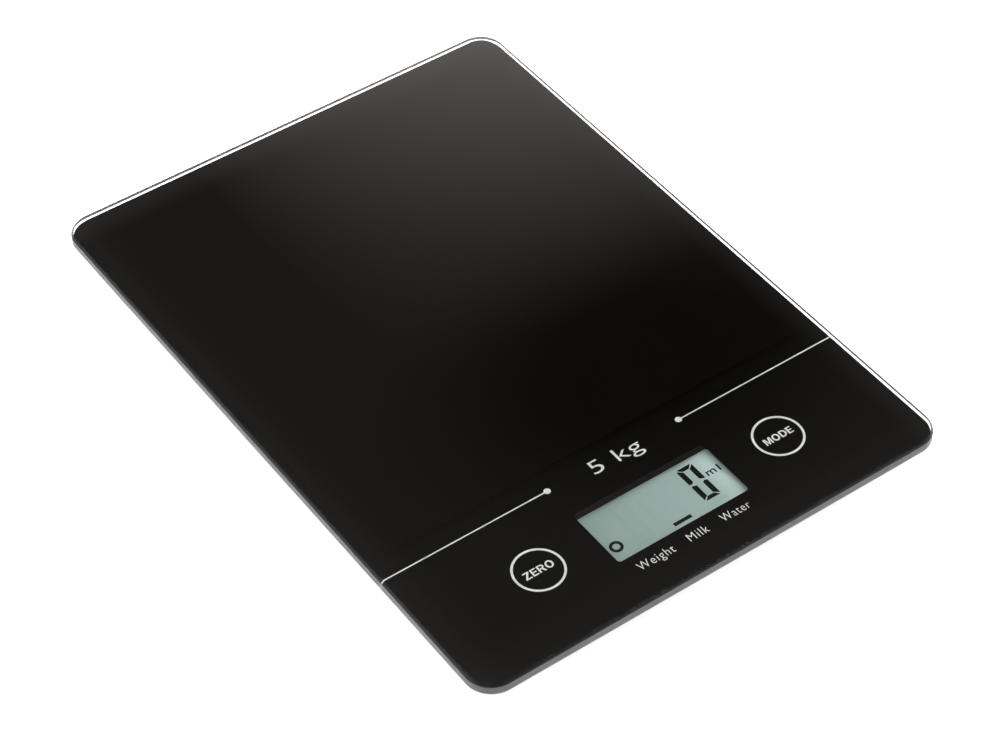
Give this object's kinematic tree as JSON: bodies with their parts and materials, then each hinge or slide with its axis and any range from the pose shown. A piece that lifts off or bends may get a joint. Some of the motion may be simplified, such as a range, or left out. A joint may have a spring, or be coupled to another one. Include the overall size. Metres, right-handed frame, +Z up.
{
  "type": "glass kitchen scale",
  "caption": "Slim kitchen scale: back-printed black glass platform with a display window and touch keys, bonded to a shallow battery-powered housing on sprung feet.",
  "frame": {"origin": "middle of the footprint, on the surface the feet stand on", "axes": "+X to the right as the display is read, +Y from the display edge to the back edge, +Z up"},
  "size_m": [0.16, 0.226, 0.016],
  "materials": {
    "clear_glass": "polished tempered float glass with ground, slightly frosted edges",
    "white_ink": "fired screen-print ink, seen through the glass",
    "black_ink": "opaque black back print, glossy through the glass",
    "foam_tape": "double-sided acrylic foam tape",
    "inner_plastic": "moulded ABS, fine texture",
    "housing_plastic": "moulded ABS, fine spark-eroded texture",
    "screw_steel": "zinc-plated steel",
    "gasket_foam": "closed-cell foam",
    "lcd_glass": "reflective twisted-nematic display, grey-green",
    "reflector_film": "satin reflector film",
    "zebra_rubber": "layered conductive silicone",
    "circuit_board": "green solder mask on glass-epoxy",
    "epoxy": "black epoxy drop",
    "capacitor_ceramic": "fired ceramic",
    "chip_package": "moulded epoxy package",
    "touch_foil": "self-adhesive metal foil",
    "cell_steel": "nickel-plated steel can",
    "contact_nickel": "nickel-plated spring steel",
    "cover_plastic": "moulded ABS, fine texture",
    "silicone_white": "white silicone sealing compound",
    "cell_plate_steel": "nickel-plated stamped alloy steel",
    "foot_plastic": "moulded ABS",
    "foot_rubber": "soft non-slip rubber",
    "wire_red": "PVC insulation",
    "wire_black": "PVC insulation",
    "wire_white": "PVC insulation"
  },
  "bodies": {
    "platform": {"amplifier_chip": "chip_package", "battery_contact_minus": "contact_nickel", "battery_contact_plus": "contact_nickel", "battery_wire_black": "wire_black", "battery_wire_red": "wire_red", "black_print": "black_ink", "board_capacitors": "capacitor_ceramic", "board_screws": "screw_steel", "bonding_tape": "foam_tape", "carrier_frame": "inner_plastic", "coin_cell": "cell_steel", "glass_platform": "clear_glass", "housing_screws": "screw_steel", "lcd_gasket": "gasket_foam", "lcd_holder": "inner_plastic", "lcd_panel": "lcd_glass", "lcd_reflector": "reflector_film", "load_cell_back_left": "cell_plate_steel", "load_cell_back_right": "cell_plate_steel", "load_cell_front_left": "cell_plate_steel", "load_cell_front_right": "cell_plate_steel", "load_cell_screws": "screw_steel", "lower_housing": "housing_plastic", "main_board": "circuit_board", "processor_chip": "epoxy", "sensor_wires_black": "wire_black", "sensor_wires_red": "wire_red", "sensor_wires_white": "wire_white", "strain_gauges": "silicone_white", "touch_leads": "wire_black", "touch_pad_mode": "touch_foil", "touch_pad_zero": "touch_foil", "white_print": "white_ink", "zebra_strip": "zebra_rubber"},
    "foot_front_left": {"foot_cap_front_left": "foot_plastic", "foot_pad_front_left": "foot_rubber", "foot_screw_front_left": "screw_steel"},
    "foot_front_right": {"foot_cap_front_right": "foot_plastic", "foot_pad_front_right": "foot_rubber", "foot_screw_front_right": "screw_steel"},
    "foot_back_left": {"foot_cap_back_left": "foot_plastic", "foot_pad_back_left": "foot_rubber", "foot_screw_back_left": "screw_steel"},
    "foot_back_right": {"foot_cap_back_right": "foot_plastic", "foot_pad_back_right": "foot_rubber", "foot_screw_back_right": "screw_steel"},
    "battery_cover": {"battery_cover": "cover_plastic", "cover_foam": "gasket_foam"}
  },
  "joints": [
    {"name": "foot_front_left_give", "type": "slide", "parent": "platform", "child": "foot_front_left", "axis": [0, 0, 1], "range_m": [0, 0.0005], "stiffness_N_per_m": 500, "springref_m": -0.003, "deforming": ["load_cell_front_left"]},
    {"name": "foot_front_right_give", "type": "slide", "parent": "platform", "child": "foot_front_right", "axis": [0, 0, 1], "range_m": [0, 0.0005], "stiffness_N_per_m": 500, "springref_m": -0.003, "deforming": ["load_cell_front_right"]},
    {"name": "foot_back_left_give", "type": "slide", "parent": "platform", "child": "foot_back_left", "axis": [0, 0, 1], "range_m": [0, 0.0005], "stiffness_N_per_m": 500, "springref_m": -0.003, "deforming": ["load_cell_back_left"]},
    {"name": "foot_back_right_give", "type": "slide", "parent": "platform", "child": "foot_back_right", "axis": [0, 0, 1], "range_m": [0, 0.0005], "stiffness_N_per_m": 500, "springref_m": -0.003, "deforming": ["load_cell_back_right"]},
    {"name": "battery_cover_hinge", "type": "hinge", "parent": "platform", "child": "battery_cover", "pos_m": [0, 0.0301, 0.003], "axis": [1, 0, 0], "range_deg": [0, 60]}
  ]
}
